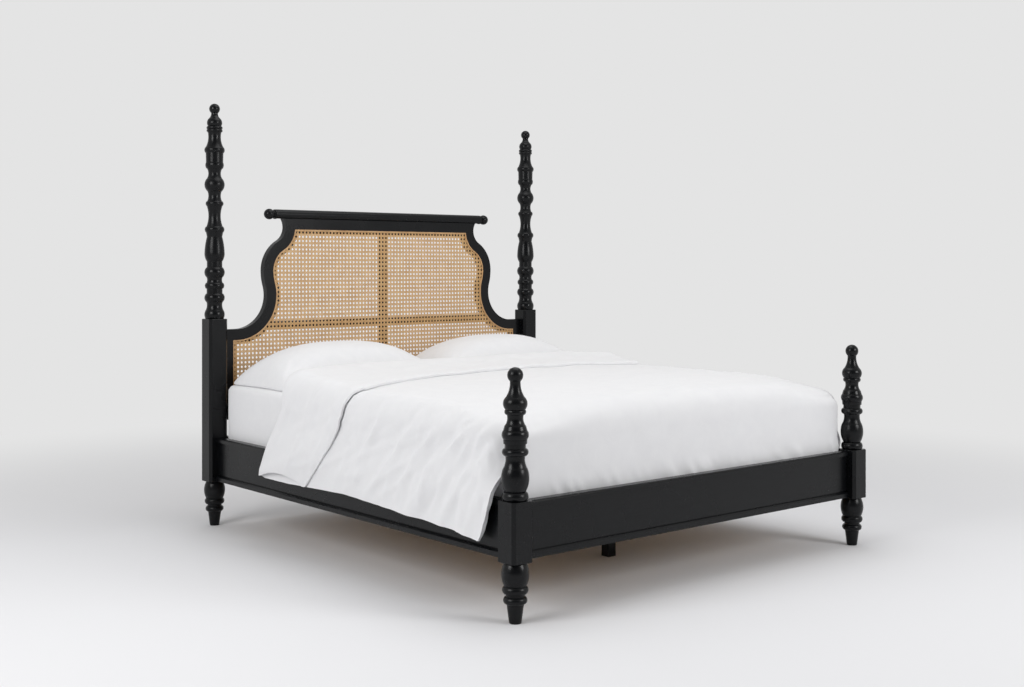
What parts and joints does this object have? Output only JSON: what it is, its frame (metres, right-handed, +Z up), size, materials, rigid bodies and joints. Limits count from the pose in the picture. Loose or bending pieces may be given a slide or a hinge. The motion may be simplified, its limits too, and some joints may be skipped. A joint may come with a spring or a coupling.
{
  "type": "four-post wooden bed",
  "caption": "Black four-post wooden bed with turned posts, a scrolled cane headboard, a slatted base, mattress, pillows and a turned-back duvet.",
  "frame": {"origin": "on the floor, under the middle of the bed", "axes": "+X to the right of someone who stands at the foot and looks at the headboard, +Y from foot to head, +Z up"},
  "size_m": [1.943, 2.193, 1.9007],
  "materials": {
    "black_wood": "satin black lacquer on turned and planed wood",
    "slat_wood": "planed, untreated pine",
    "cane": "natural woven rattan cane",
    "steel": "zinc plated",
    "mattress_fabric": "fitted cotton sheet",
    "bed_linen": "white washed cotton"
  },
  "bodies": {
    "frame": {"beam_hangers": "steel", "cane_crossbar_left": "black_wood", "cane_crossbar_right": "black_wood", "cane_mullion": "black_wood", "cane_panel": "cane", "cane_spline": "cane", "centre_beam": "black_wood", "centre_leg_foot": "black_wood", "centre_leg_head": "black_wood", "crest_knob_left": "black_wood", "crest_knob_right": "black_wood", "crest_rod": "black_wood", "foot_base": "black_wood", "foot_cap": "black_wood", "foot_finial_left": "black_wood", "foot_finial_right": "black_wood", "foot_leg_left": "black_wood", "foot_leg_right": "black_wood", "foot_post_left": "black_wood", "foot_post_right": "black_wood", "foot_rail": "black_wood", "head_leg_left": "black_wood", "head_leg_right": "black_wood", "head_post_left": "black_wood", "head_post_right": "black_wood", "head_rail": "black_wood", "head_spindle_left": "black_wood", "head_spindle_right": "black_wood", "headboard_bottom_rail": "black_wood", "headboard_scroll_left": "black_wood", "headboard_scroll_right": "black_wood", "headboard_stile_left": "black_wood", "headboard_stile_right": "black_wood", "headboard_top_rail": "black_wood", "post_screws": "steel", "rail_hook_plates": "steel", "side_base_left": "black_wood", "side_base_right": "black_wood", "side_cap_left": "black_wood", "side_cap_right": "black_wood", "side_rail_left": "black_wood", "side_rail_right": "black_wood", "slat_01": "slat_wood", "slat_02": "slat_wood", "slat_03": "slat_wood", "slat_04": "slat_wood", "slat_05": "slat_wood", "slat_06": "slat_wood", "slat_07": "slat_wood", "slat_08": "slat_wood", "slat_09": "slat_wood", "slat_10": "slat_wood", "slat_11": "slat_wood", "slat_ledger_left": "slat_wood", "slat_ledger_right": "slat_wood"},
    "mattress": {"mattress": "mattress_fabric"},
    "duvet": {"duvet": "bed_linen"},
    "pillow_left": {"pillow_left": "bed_linen"},
    "pillow_right": {"pillow_right": "bed_linen"}
  },
  "joints": [
    {"name": "mattress_lift", "type": "slide", "parent": "frame", "child": "mattress", "axis": [0, 0, 1], "range_m": [0, 0.35]},
    {"name": "duvet_lift", "type": "slide", "parent": "mattress", "child": "duvet", "axis": [0, 0, 1], "range_m": [0, 0.5]},
    {"name": "pillow_left_lift", "type": "slide", "parent": "mattress", "child": "pillow_left", "axis": [0, 0, 1], "range_m": [0, 0.3]},
    {"name": "pillow_right_lift", "type": "slide", "parent": "mattress", "child": "pillow_right", "axis": [0, 0, 1], "range_m": [0, 0.3]}
  ]
}
